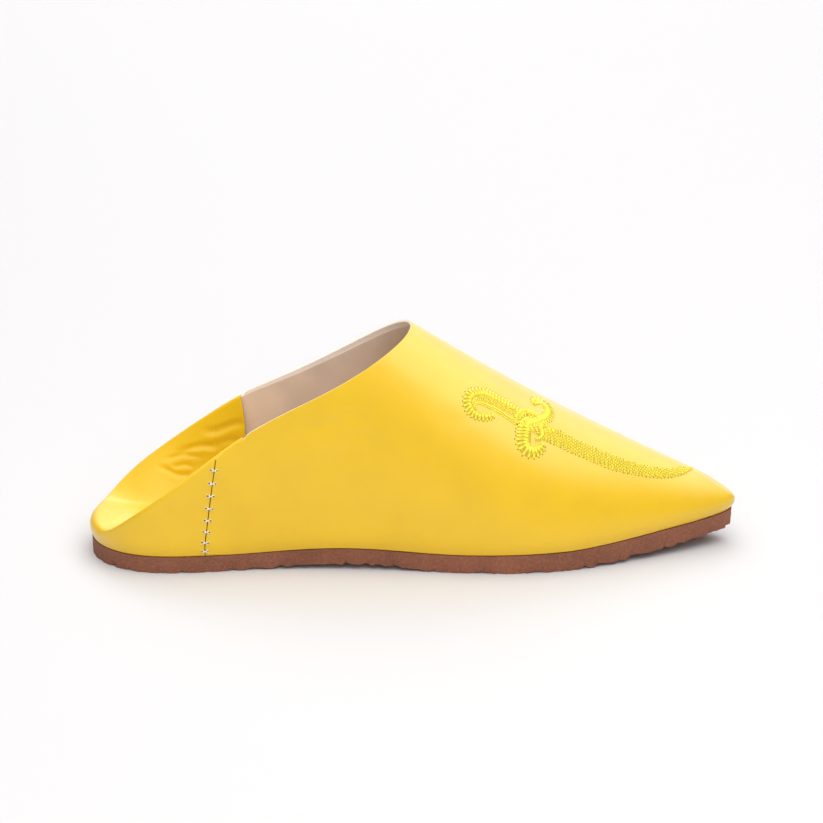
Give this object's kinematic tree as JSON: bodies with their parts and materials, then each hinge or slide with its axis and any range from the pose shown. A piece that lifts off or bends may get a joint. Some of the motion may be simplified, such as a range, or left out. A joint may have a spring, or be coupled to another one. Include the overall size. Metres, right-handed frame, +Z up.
{
  "type": "babouche slipper",
  "caption": "Pointed leather slipper with an open heel, its back trodden down flat inside, on a thin crepe rubber sole.",
  "frame": {"origin": "centre of the shoe's box on the floor, under the middle of the sole", "axes": "+X from heel to toe, +Y to the inner side of the foot, +Z up"},
  "size_m": [0.2709, 0.0807, 0.096],
  "materials": {
    "crepe_rubber": "matte, porous",
    "sock_leather": "matte",
    "dyed_leather": "smooth, polished"
  },
  "bodies": {
    "root": {"outsole": "crepe_rubber", "insole": "sock_leather", "upper": "dyed_leather", "back_quarter": "dyed_leather"}
  },
  "joints": []
}
